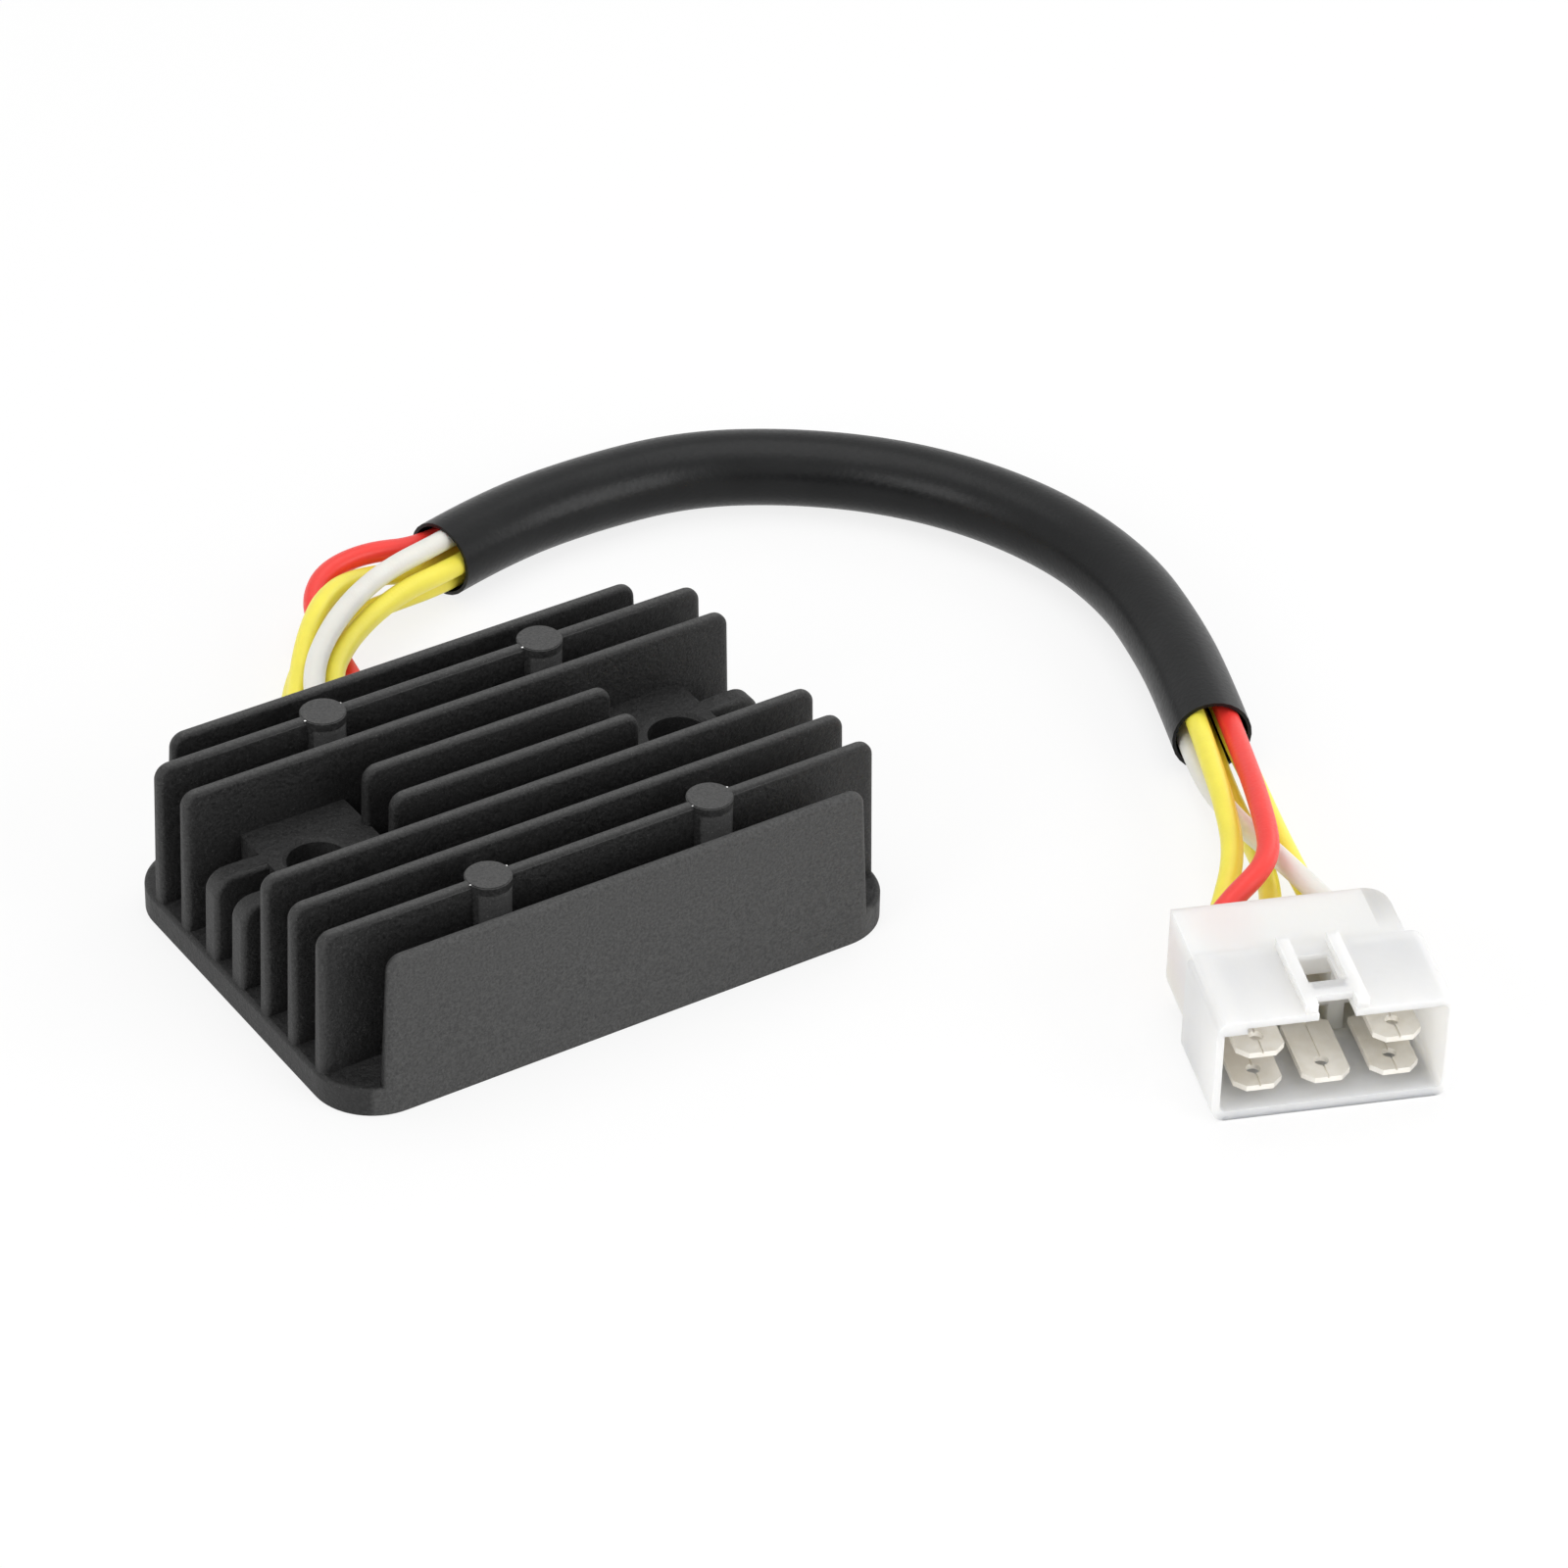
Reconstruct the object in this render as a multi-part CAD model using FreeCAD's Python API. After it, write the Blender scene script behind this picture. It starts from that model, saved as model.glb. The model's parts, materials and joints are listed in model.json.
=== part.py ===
# Voltage regulator rectifier of a small engine: a finned casting with a sealed circuit
# in its underside, five leads in a sleeve, and a six-way connector with one way left empty.
# Millimetres. X runs along the fins, Y from the front to the side where the leads leave,
# Z up. The origin is the centre of the casting's underside.
import FreeCAD
import Part
import math
import os

Vector = FreeCAD.Vector
UP = Vector(0, 0, 1)

# Casting: base plate
base_length = 83.2
base_thickness = 4.0
base_corner_radius = 8.4
base_edge_round = 0.6
back_ledge = 1.4  # base left bare behind the last fin

# Casting: fins, numbered 1 at the back to 9 at the front
fin_count = 9
fin_pitch = 7.0
fin_top_thickness = 1.7
fin_foot_thickness = 2.4
fin_top = 24.9
fin_end_inset = 0.7  # from the base's end to the fin's end, at its top
fin_end_slope = 0.5  # how much further out the fin's foot reaches
fin_corner_radius = 2.1
fin_edge_round = 0.75
outer_fin_top = 23.5
outer_fin_inset = 6.65
outer_fin_slope = 1.15
valley_height = 11.6

# Casting: ejector bosses, mounting pads and holes
boss_diameter = 6.0
boss_spacing = 32.7
boss_top = 24.4
hole_inset = 14.5  # from the base's end to the hole's centre
hole_diameter = 8.2
hole_chamfer = 0.5
pad_inward = 9.2  # from the hole's centre to the pad's inner face
pad_outward = 6.1
pad_top = 16.4
pad_corner_radius = 1.5
short_fin_overlap = 0.5  # the short middle fins stand this far onto the pads
low_fin_thickness = 3.3
low_fin_corner_radius = 2.8

# Casting: cavity in the underside
roof_thickness = 2.2
cavity_past_hole = 0.9  # the cavity ends this far outside the holes' centres
raised_end_wall = 2.4
cavity_side_wall = 5.9
cavity_corner_radius = 3.0
hole_wall = 3.1
resin_recess = 0.4

# Circuit in the cavity
pad_sheet_thickness = 0.5
device_thickness = 3.5
device_depth = 12.0
device_gap = 2.5  # the three devices of a row share the board's length, this far apart
device_corner_radius = 0.6
board_gap = 0.2  # resin between the power devices and the board
board_thickness = 1.6
board_margin = 1.4
control_height = 2.0
capacitor_size = 5.6
resistor_length = 6.2
resistor_width = 2.6
control_diode_width = 3.4

# Leads and the grommet that they leave through
lead_diameter = 3.0
lead_on_board = 3.0
lead_column_pitch = 4.2
grommet_x = -6.0
grommet_margin = 1.0  # rubber outside the leads' bores
grommet_round = 2.2
flange_reach = 1.0
flange_thickness = 2.0

# Sleeve
sleeve_diameter = 11.0
sleeve_wall = 0.5
lane_radius = 3.25

# Connector: shroud, rear body and cavities; it is turned and stands on the same surface
connector_x = 51.3
connector_y = -84.5
connector_turn = -20.8
shroud_width = 31.0
shroud_height = 15.2
shroud_length = 14.8
shroud_wall = 1.0
shroud_floor = 1.4
shroud_corner_radius = 1.8
socket_depth = 13.8
socket_corner_radius = 0.8
rear_inset = 0.6
rear_underside = 0.8
rear_length = 10.2
rear_top_drop = 0.3
rear_corner_radius = 4.0  # both lower edges
rear_top_radius = 4.8  # upper edge on the side away from the key
way_pitch = 8.9
way_width = 6.8
way_height = 4.0
lower_row = 3.5
row_pitch = 5.2
key_width = 3.0
key_drop = 0.9

# Connector: latch bridge
rail_width = 1.6
rail_height = 1.3
rail_front = 0.3
rail_back = 14.7
latch_gap = 5.0
bar_front = 2.0
bar_back = 4.9
bar_thickness = 1.0
slot_width = 4.8
window_width = 4.0
window_back = 12.0

# Blade terminals, folded from strip, so a seam runs down the middle of each blade
blade_width = 6.3
blade_thickness = 0.8
blade_tip = 1.45
blade_hole_diameter = 1.9
blade_hole_from_tip = 3.4
blade_chamfer = 1.4
seam_width = 0.25
seam_depth = 0.25
neck_width = 2.4
neck_start = 12.75
barrel_start = 17.6
barrel_end = 24.0
barrel_wall = 0.35
lead_end = 19.0  # where the lead stops inside the barrel
lead_in_way = 5.2  # the lead is straight from this far inside the rear body
lead_straight = 2.8  # to this far outside it

# Places that follow from the sizes above
base_width = (fin_count - 1) * fin_pitch + fin_foot_thickness + back_ledge
half_length = base_length / 2
half_width = base_width / 2
hole_spacing = base_length - 2 * hole_inset
cavity_roof = valley_height - roof_thickness
sheet_low = cavity_roof - pad_sheet_thickness
device_low = sheet_low - device_thickness
board_top = device_low - board_gap
board_low = board_top - board_thickness
control_low = board_low - control_height
upper_lead = board_top + lead_diameter / 2
lower_lead = board_low - lead_diameter / 2
cavity_back = half_width - cavity_side_wall
hole_boss_radius = hole_diameter / 2 + hole_wall
cavity_half_length = hole_spacing / 2 + cavity_past_hole
raised_half_length = cavity_half_length + raised_end_wall
board_half_length = hole_spacing / 2 - hole_boss_radius - board_margin
board_half_width = cavity_back - board_margin
device_step = (2 * board_half_length - device_gap) / 3
device_width = device_step - device_gap
upper_row = lower_row + row_pitch
connector_middle = shroud_width / 2


def fin_row(number):
    """Y of a fin's middle; the last fin is flush with the front of the base."""
    return -half_width + fin_foot_thickness / 2 + (fin_count - number) * fin_pitch


def box(x0, x1, y0, y1, z0, z1):
    return Part.makeBox(x1 - x0, y1 - y0, z1 - z0, Vector(x0, y0, z0))


def edges_along(shape, axis):
    """The straight edges that run along an axis."""
    found = []
    for edge in shape.Edges:
        if edge.Curve.TypeId == "Part::GeomLine":
            way = edge.Vertexes[-1].Point - edge.Vertexes[0].Point
            if abs(abs(way.normalize().dot(axis)) - 1) < 1e-6:
                found.append(edge)
    return found


def rounded_box(x0, x1, y0, y1, z0, z1, radius, axis=UP):
    """A box whose four edges along one axis are rounded."""
    block = box(x0, x1, y0, y1, z0, z1)
    return block.makeFillet(radius, edges_along(block, axis))


def upright(x, y, z0, z1, diameter):
    return Part.makeCylinder(diameter / 2, z1 - z0, Vector(x, y, z0), UP)


def merge(shapes):
    return shapes[0].multiFuse(shapes[1:]).removeSplitter()


def only_solid(shape):
    """The one solid of a result that comes wrapped in a compound."""
    if len(shape.Solids) != 1:
        raise ValueError("expected one solid, got %d" % len(shape.Solids))
    return shape.Solids[0]


# Casting

def base_plate():
    block = rounded_box(-half_length, half_length, -half_width, half_width,
                        0, base_thickness, base_corner_radius)
    rim = [e for e in block.Edges if e.BoundBox.ZMin > base_thickness - 1e-6]
    return block.makeFillet(base_edge_round, rim)


def fin(number, half_top, slope, top, top_thickness, foot_thickness, corner):
    """A fin that narrows upwards, with round top corners and round edges."""
    row = fin_row(number)
    foot = half_top + slope
    side = Part.makePolygon([Vector(-foot, row, 0), Vector(foot, row, 0),
                             Vector(half_top, row, top), Vector(-half_top, row, top),
                             Vector(-foot, row, 0)])
    plate = Part.Face(side).extrude(Vector(0, foot_thickness, 0))
    plate.translate(Vector(0, -foot_thickness / 2, 0))
    corners = [e for e in plate.Edges if e.BoundBox.ZMin > top - 1e-6 and e.BoundBox.XLength < 1e-6]
    plate = plate.makeFillet(corner, corners)
    thin = top_thickness / 2
    thick = foot_thickness / 2
    taper = Part.Face(Part.makePolygon([Vector(-foot, row - thick, 0), Vector(-foot, row + thick, 0),
                                        Vector(-foot, row + thin, top), Vector(-foot, row - thin, top),
                                        Vector(-foot, row - thick, 0)]))
    body = plate.common(taper.extrude(Vector(2 * foot, 0, 0)))
    outline = [e for e in body.Edges
               if e.BoundBox.ZMax > 1e-6 and (e.BoundBox.YMin > row + 1e-6 or e.BoundBox.YMax < row - 1e-6)]
    return body.makeFillet(min(fin_edge_round, 0.46 * top_thickness), outline)


def main_fin(number):
    return fin(number, half_length - fin_end_inset, fin_end_slope, fin_top,
               fin_top_thickness, fin_foot_thickness, fin_corner_radius)


def outer_fin(number):
    return fin(number, half_length - outer_fin_inset, outer_fin_slope, outer_fin_top,
               fin_top_thickness, fin_foot_thickness, fin_corner_radius)


def middle_fin(number):
    """The high stretch of a fin that the mounting pads interrupt."""
    reach = hole_spacing / 2 - pad_inward + short_fin_overlap
    return fin(number, reach, fin_end_slope, fin_top,
               fin_top_thickness, fin_foot_thickness, fin_corner_radius)


def low_fin(number):
    """The low, thick ends of the same fin, outside the pads and level with them."""
    whole = fin(number, half_length - fin_end_inset, fin_end_slope, pad_top,
                low_fin_thickness, low_fin_thickness, low_fin_corner_radius)
    reach = hole_spacing / 2
    row = fin_row(number)
    gap = box(-reach, reach, row - fin_pitch / 2, row + fin_pitch / 2, -1, pad_top + 1)
    return [solid for solid in whole.cut(gap).Solids]


def mounting_pad(side):
    """Block between two whole fins, level on top, that a mounting bolt clamps."""
    inner = side * (hole_spacing / 2 - pad_inward)
    outer = side * (hole_spacing / 2 + pad_outward)
    return rounded_box(min(inner, outer), max(inner, outer), fin_row(6), fin_row(3),
                       0, pad_top, pad_corner_radius)


def heatsink_solid():
    """Base, fins, bosses, pads and the raised floor between the fins, before it is hollowed."""
    parts = [base_plate()]
    parts.append(box(-raised_half_length, raised_half_length,
                     fin_row(fin_count), fin_row(1), 0, valley_height))
    parts += [outer_fin(number) for number in (1, fin_count)]
    parts += [main_fin(number) for number in (2, 3, 6, 7, 8)]
    for number in (4, 5):
        parts.append(middle_fin(number))
        parts += low_fin(number)
    for number in (2, 8):
        for side in (-1, 1):
            parts.append(upright(side * boss_spacing / 2, fin_row(number), 0, boss_top, boss_diameter))
    parts += [mounting_pad(side) for side in (-1, 1)]
    body = merge(parts)
    outline = rounded_box(-half_length, half_length, -half_width, half_width,
                          0, fin_top + 1, base_corner_radius)
    return body.common(outline)


def hole_y():
    """The mounting holes lie midway between the two interrupted fins."""
    return (fin_row(4) + fin_row(5)) / 2


def cavity(low):
    """The space in the underside, from a height up to its roof, with bosses round the holes."""
    room = rounded_box(-cavity_half_length, cavity_half_length, -cavity_back, cavity_back,
                       low, cavity_roof, cavity_corner_radius)
    bosses = [upright(side * hole_spacing / 2, hole_y(), low, cavity_roof, 2 * hole_boss_radius)
              for side in (-1, 1)]
    return room.cut(bosses)


def mounting_hole(side):
    x = side * hole_spacing / 2
    radius = hole_diameter / 2
    lip = Part.makeCone(radius, radius + hole_chamfer, hole_chamfer,
                        Vector(x, hole_y(), pad_top - hole_chamfer), UP)
    return [upright(x, hole_y(), -1, pad_top + 1, hole_diameter), lip]


def grommet_block(y0, y1, reach):
    """Round-topped block across the leads, open ground level to above the upper leads."""
    half = lead_column_pitch + lead_diameter / 2 + grommet_margin + reach
    top = upper_lead + lead_diameter / 2 + grommet_margin + reach
    block = box(grommet_x - half, grommet_x + half, y0, y1, 0, top)
    upper = [e for e in edges_along(block, Vector(0, 1, 0)) if e.BoundBox.ZMin > 1]
    return block.makeFillet(grommet_round, upper)


def heatsink_housing():
    body = heatsink_solid().cut(cavity(-1))
    for side in (-1, 1):
        body = body.cut(mounting_hole(side))
    notch = grommet_block(cavity_back - 1, half_width + 1, 0)
    return only_solid(body.cut(notch).removeSplitter())


# Circuit

def lead_columns():
    return [grommet_x + step * lead_column_pitch for step in (1, 0, -1)]


def lead_bores():
    """Where each lead passes through the grommet: X and Z."""
    return [(lead_columns()[lead["column"]], lead["bore"]) for lead in leads.values()]


def lead_tail(x, z):
    """The straight end of a lead, from its joint on the board out through the grommet."""
    start = board_half_width - lead_on_board
    return Part.makeCylinder(lead_diameter / 2, half_width - start, Vector(x, start, z), Vector(0, 1, 0))


def circuit_board():
    return box(-board_half_length, board_half_length, -board_half_width, board_half_width,
               board_low, board_top)


def device_places():
    """Two rows of three power devices, clear of the leads' ends at the back of the board."""
    row_step = device_depth + device_gap
    back = board_half_width - lead_on_board - device_gap - device_depth / 2
    return [[(column * device_step, back - row * row_step) for column in (-1, 0, 1)] for row in (0, 1)]


def power_device(x, y):
    return rounded_box(x - device_width / 2, x + device_width / 2,
                       y - device_depth / 2, y + device_depth / 2,
                       device_low, sheet_low, device_corner_radius)


def thermal_pad():
    """Insulating sheet that all the power devices press on the casting's roof through."""
    back_row, front_row = device_places()
    x = back_row[2][0] + device_width / 2 + device_gap / 2
    y0 = front_row[0][1] - device_depth / 2 - device_gap / 2
    y1 = back_row[0][1] + device_depth / 2 + device_gap / 2
    return box(-x, x, y0, y1, sheet_low, cavity_roof)


def control_part(x, y, size_x, size_y):
    return box(x - size_x / 2, x + size_x / 2, y - size_y / 2, y + size_y / 2,
               control_low, board_low)


def circuit():
    """Every piece in the cavity except the resin, by name."""
    pieces = {"circuit_board": circuit_board(), "thermal_pad": thermal_pad()}
    back_row, front_row = device_places()
    for number in range(3):
        pieces["thyristor_%d" % (number + 1)] = power_device(*back_row[number])
        pieces["rectifier_diode_%d" % (number + 1)] = power_device(*front_row[number])
    third = board_half_length * 2 / 3
    row = -board_half_width / 2
    pieces["control_capacitor"] = control_part(-third, row, capacitor_size, capacitor_size)
    pieces["control_diode"] = control_part(third, row, control_diode_width, resistor_length)
    for number, y in ((1, row), (2, row + 2 * resistor_width)):
        pieces["control_resistor_%d" % number] = control_part(0, y, resistor_length, resistor_width)
    return pieces


def cable_grommet():
    """Rubber block in the casting's notch, with a flange outside and a bore for each lead."""
    body = grommet_block(cavity_back, half_width, 0)
    flange = grommet_block(half_width, half_width + flange_thickness, flange_reach)
    bores = [Part.makeCylinder(lead_diameter / 2, base_width, Vector(x, 0, z), Vector(0, 1, 0))
             for x, z in lead_bores()]
    return only_solid(merge([body, flange]).cut(bores).removeSplitter())


def potting_fill(pieces):
    """Resin that fills the cavity round everything in it."""
    tails = [lead_tail(x, z) for x, z in lead_bores()]
    return only_solid(cavity(resin_recess).cut(list(pieces.values()) + tails))


# Leads and sleeve

# The sleeve's middle line, from the mouth at the casting to the mouth at the connector
sleeve_height = sleeve_diameter / 2
sleeve_route = [(29.4, 69.1), (40.5, 72.2), (56.0, 73.0), (71.0, 71.3), (84.0, 64.6), (95.5, 54.5),
                (103.5, 42.0), (108.0, 27.5), (108.2, 13.0), (104.8, -0.5), (101.0, -11.3),
                (96.3, -22.3)]

# Each lead: column and height of its bore, its angle round the sleeve's middle line at both
# ends of the sleeve, the way it enters (column, row), and its routes outside the sleeve
exit_y = 28.5
free_y = 36.0
leads = {
    "red_wire": dict(
        column=0, bore=lower_lead, lane=(24, 46), way=(0, upper_row),
        first=[(1.8, 43.0, 2.2), (5.6, 50.0, 2.9), (6.4, 58.0, 4.2), (6.9, 65.7, 6.3),
               (11.1, 70.8, 8.0), (18.5, 71.9, 8.7), (28.0, 71.6, 6.6)],
        last=[(103.1, -12.1, 7.8), (98.4, -23.2, 7.8), (94.8, -30.7, 9.4), (91.6, -37.0, 11.1),
              (88.5, -43.1, 12.0), (85.2, -49.2, 11.9), (80.5, -54.1, 11.2), (73.6, -56.8, 10.1)]),
    "white_wire": dict(
        column=1, bore=upper_lead, lane=(99, 206), way=(2, upper_row),
        first=[(-5.1, 43.0, 8.2), (-1.8, 49.4, 9.7), (3.9, 55.1, 10.5), (10.9, 60.5, 10.4),
               (19.0, 65.2, 9.7), (28.8, 68.4, 8.7)],
        last=[(98.3, -10.2, 4.1), (93.6, -21.2, 4.1), (89.9, -30.5, 4.4), (87.7, -39.8, 5.5),
              (86.3, -48.9, 7.0), (85.0, -58.0, 8.1)]),
    "yellow_wire_1": dict(
        column=0, bore=upper_lead, lane=(174, 131), way=(0, lower_row),
        first=[(-1.4, 43.5, 6.8), (1.3, 50.0, 7.0), (6.5, 55.2, 7.3), (13.1, 59.5, 7.3),
               (20.7, 63.2, 6.9), (29.6, 65.8, 5.8)],
        last=[(99.0, -10.5, 8.0), (94.3, -21.5, 8.0), (89.9, -30.6, 8.6), (85.7, -39.5, 8.6),
              (81.2, -48.0, 7.5), (74.2, -54.7, 5.4)]),
    "yellow_wire_2": dict(
        column=2, bore=lower_lead, lane=(240, 277), way=(1, lower_row),
        first=[(-7.8, 44.8, 1.7), (-3.5, 53.4, 1.7), (2.5, 60.8, 1.7), (9.6, 66.0, 2.7),
               (18.8, 66.4, 3.1), (29.1, 67.3, 2.7)],
        last=[(101.4, -11.4, 2.3), (96.7, -22.5, 2.3), (92.7, -32.0, 2.1), (89.3, -41.2, 2.3),
              (85.8, -49.7, 3.0), (80.7, -57.1, 3.4)]),
    "yellow_wire_3": dict(
        column=2, bore=upper_lead, lane=(305, 342), way=(2, lower_row),
        first=[(-8.1, 43.7, 6.1), (-3.5, 50.7, 6.6), (1.8, 57.9, 8.5), (8.8, 64.6, 9.6),
               (17.6, 69.1, 6.8), (28.2, 70.7, 2.8)],
        last=[(103.9, -12.4, 4.5), (99.1, -23.5, 4.5), (95.6, -32.9, 4.6), (92.2, -41.7, 4.4),
              (89.3, -50.3, 4.0), (86.5, -58.9, 3.7)]),
}


def lane_place(lane, share):
    """Beside and above the sleeve's middle line, at a share of the way along it. The leads turn
    round the line in its middle half; one crosses over through the middle meanwhile."""
    start, end = lane
    turned = min(max(2 * share - 0.5, 0), 1)
    angle = start + (end - start) * (1 - math.cos(math.pi * turned)) / 2
    radius = lane_radius
    if abs(end - start) > 90:
        angle = start if share < 0.5 else end
        radius = lane_radius * max(abs(2 * share - 1) * 4 - 1, 0) / 3
    return radius * math.cos(math.radians(angle)), radius * math.sin(math.radians(angle))


def lane_points(lane):
    """A lead's places at each point of the sleeve's middle line between its ends' bends."""
    stations = list(zip(sleeve_route, sleeve_route[1:], sleeve_route[2:]))[:-1]
    points = []
    for number, (before, here, after) in enumerate(stations):
        side, rise = lane_place(lane, number / (len(stations) - 1))
        way = Vector(after[0] - before[0], after[1] - before[1], 0).normalize()
        points.append(Vector(here[0] - way.y * side, here[1] + way.x * side, sleeve_height + rise))
    return points


def connector_point(across, back, height):
    """A place in the connector's own frame, as a place in the part's frame."""
    turn = math.radians(connector_turn)
    return Vector(connector_x + across * math.cos(turn) - back * math.sin(turn),
                  connector_y + across * math.sin(turn) + back * math.cos(turn), height)


def way_across(column):
    return connector_middle + (column - 1) * way_pitch


def lead_route(lead):
    x = lead_columns()[lead["column"]]
    across, height = way_across(lead["way"][0]), lead["way"][1]
    rear = shroud_length + rear_length
    points = [Vector(x, exit_y, lead["bore"]), Vector(x, free_y, lead["bore"])]
    points += [Vector(*point) for point in lead["first"]]
    points += lane_points(lead["lane"])
    points += [Vector(*point) for point in lead["last"]]
    points += [connector_point(across, rear + lead_straight, height),
               connector_point(across, rear - lead_in_way, height)]
    return points


def bent_path(points):
    """Straight runs joined by the largest arcs that they have room for; prints the smallest."""
    edges = []
    start = points[0]
    smallest = None
    for before, here, after in zip(points, points[1:], points[2:]):
        back = (before - here).normalize()
        onward = (after - here).normalize()
        half_turn = (math.pi - back.getAngle(onward)) / 2
        trim = 0.45 * min((before - here).Length, (after - here).Length)
        radius = trim / math.tan(half_turn)
        smallest = radius if smallest is None else min(radius, smallest)
        enter = here + back * trim
        leave = here + onward * trim
        inward = (back + onward).normalize()
        middle = here + inward * (radius / math.cos(half_turn) - radius)
        edges.append(Part.LineSegment(start, enter).toShape())
        edges.append(Part.Arc(enter, middle, leave).toShape())
        start = leave
    edges.append(Part.LineSegment(start, points[-1]).toShape())
    return Part.Wire(edges), smallest


def tube(points, diameter):
    path, smallest = bent_path(points)
    way = (points[1] - points[0]).normalize()
    ring = Part.Wire(Part.Circle(points[0], way, diameter / 2).toShape())
    solid = path.makePipeShell([ring], True, False)
    return solid, path.Length, smallest


def lead_solid(name):
    lead = leads[name]
    points = lead_route(lead)
    body, length, smallest = tube(points, lead_diameter)
    expected = math.pi * lead_diameter ** 2 / 4 * length
    print("%s: length %.1f, smallest radius %.1f, volume %.4f of expected"
          % (name, length, smallest, body.Volume / expected))
    tail = lead_tail(lead_columns()[lead["column"]], lead["bore"])
    tip = connector_point(way_across(lead["way"][0]), lead_end, lead["way"][1])
    end = Part.makeCylinder(lead_diameter / 2, (points[-1] - tip).Length + 1, tip, points[-2] - tip)
    return only_solid(merge([body, tail, end]))


def harness_sleeve():
    points = [Vector(x, y, sleeve_height) for x, y in sleeve_route]
    outside, length, smallest = tube(points, sleeve_diameter)
    inside = tube(points, sleeve_diameter - 2 * sleeve_wall)[0]
    body = only_solid(outside.cut(inside))
    section = math.pi / 4 * (sleeve_diameter ** 2 - (sleeve_diameter - 2 * sleeve_wall) ** 2)
    print("harness_sleeve: length %.1f, smallest radius %.1f, volume %.4f of expected"
          % (length, smallest, body.Volume / (section * length)))
    return body


# Connector, in its own frame: X across, Y back from its open front, Z up

ALONG = Vector(0, 1, 0)


def placed(shape):
    shape.rotate(Vector(0, 0, 0), UP, connector_turn)
    shape.translate(Vector(connector_x, connector_y, 0))
    return shape


def way_places():
    """Every way of the connector: its column and its height."""
    return [(column, row) for row in (upper_row, lower_row) for column in (0, 1, 2)]


def used_ways():
    taken = [lead["way"] for lead in leads.values()]
    return [way for way in way_places() if way in taken]


def rear_body():
    """The block behind the shroud: both lower edges and one upper edge are well rounded."""
    right = shroud_width - rear_inset
    top = shroud_height - rear_top_drop
    back = shroud_length + rear_length
    block = box(rear_inset, right, shroud_length - 1, back, rear_underside, top)
    for x, z, radius in ((rear_inset, rear_underside, rear_corner_radius),
                         (right, rear_underside, rear_corner_radius),
                         (right, top, rear_top_radius)):
        corner = Vector(x, (shroud_length - 1 + back) / 2, z)
        edges = [edge for edge in block.Edges if edge.CenterOfMass.distanceToPoint(corner) < 0.01]
        block = block.makeFillet(radius, edges)
    return block


def latch_rails():
    inner = latch_gap / 2
    rails = []
    for side in (-1, 1):
        near = connector_middle + side * inner
        far = near + side * rail_width
        rails.append(box(min(near, far), max(near, far), rail_front, rail_back,
                         shroud_height - shroud_wall / 2, shroud_height + rail_height))
    return rails


def connector_housing():
    shroud = rounded_box(0, shroud_width, 0, shroud_length, 0, shroud_height,
                         shroud_corner_radius, ALONG)
    top = shroud_height + rail_height
    bar = box(connector_middle - latch_gap / 2 - rail_width / 2,
              connector_middle + latch_gap / 2 + rail_width / 2,
              bar_front, bar_back, top - bar_thickness, top)
    body = merge([shroud, rear_body(), bar] + latch_rails())
    ceiling = shroud_height - shroud_wall
    socket = rounded_box(shroud_wall, shroud_width - shroud_wall, -1, socket_depth,
                         shroud_floor, ceiling, socket_corner_radius, ALONG)
    key = box(0, shroud_wall + key_width, -1, socket_depth, ceiling - key_drop, shroud_height)
    cuts = [socket.cut(key)]
    for column, height in way_places():
        across = way_across(column)
        cuts.append(box(across - way_width / 2, across + way_width / 2, socket_depth - 1,
                        shroud_length + rear_length + 1,
                        height - way_height / 2, height + way_height / 2))
    cuts.append(box(connector_middle - slot_width / 2, connector_middle + slot_width / 2,
                    -1, bar_back, ceiling - 1, top - bar_thickness))
    cuts.append(box(connector_middle - window_width / 2, connector_middle + window_width / 2,
                    bar_back - 1, window_back, ceiling - 1, shroud_height + 1))
    return placed(only_solid(body.cut(cuts).removeSplitter()))


def tab_terminal(column, height):
    """Blade with a chamfered tip and a hole, a neck, and a barrel crimped on the lead."""
    across = way_across(column)
    half = blade_width / 2
    tip = blade_tip
    outline = [(-half + blade_chamfer, tip), (half - blade_chamfer, tip), (half, tip + blade_chamfer),
               (half, neck_start), (neck_width / 2, neck_start + 1), (neck_width / 2, barrel_start + 0.4),
               (-neck_width / 2, barrel_start + 0.4), (-neck_width / 2, neck_start + 1),
               (-half, neck_start), (-half, tip + blade_chamfer)]
    corners = [Vector(across + x, y, height - blade_thickness / 2) for x, y in outline]
    blade = Part.Face(Part.makePolygon(corners + corners[:1])).extrude(Vector(0, 0, blade_thickness))
    hole = upright(across, tip + blade_hole_from_tip, 0, shroud_height, blade_hole_diameter)
    face = height + blade_thickness / 2
    seam = box(across - seam_width / 2, across + seam_width / 2, 0, neck_start, face - seam_depth, face + 1)
    radius = lead_diameter / 2
    barrel = Part.makeCylinder(radius + barrel_wall, barrel_end - barrel_start,
                               Vector(across, barrel_start, height), ALONG)
    bore = Part.makeCylinder(radius, barrel_end, Vector(across, lead_end, height), ALONG)
    return placed(only_solid(merge([blade.cut([hole, seam]), barrel]).cut(bore).removeSplitter()))


def build():
    """Every piece by the name of its file."""
    pieces = circuit()
    resin = potting_fill(pieces)
    pieces["potting_fill"] = resin
    pieces["heatsink_housing"] = heatsink_housing()
    pieces["cable_grommet"] = cable_grommet()
    for name in leads:
        pieces[name] = lead_solid(name)
    pieces["harness_sleeve"] = harness_sleeve()
    pieces["connector_housing"] = connector_housing()
    for number, (column, height) in enumerate(used_ways(), 1):
        pieces["tab_terminal_%d" % number] = tab_terminal(column, height)
    return pieces


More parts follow.
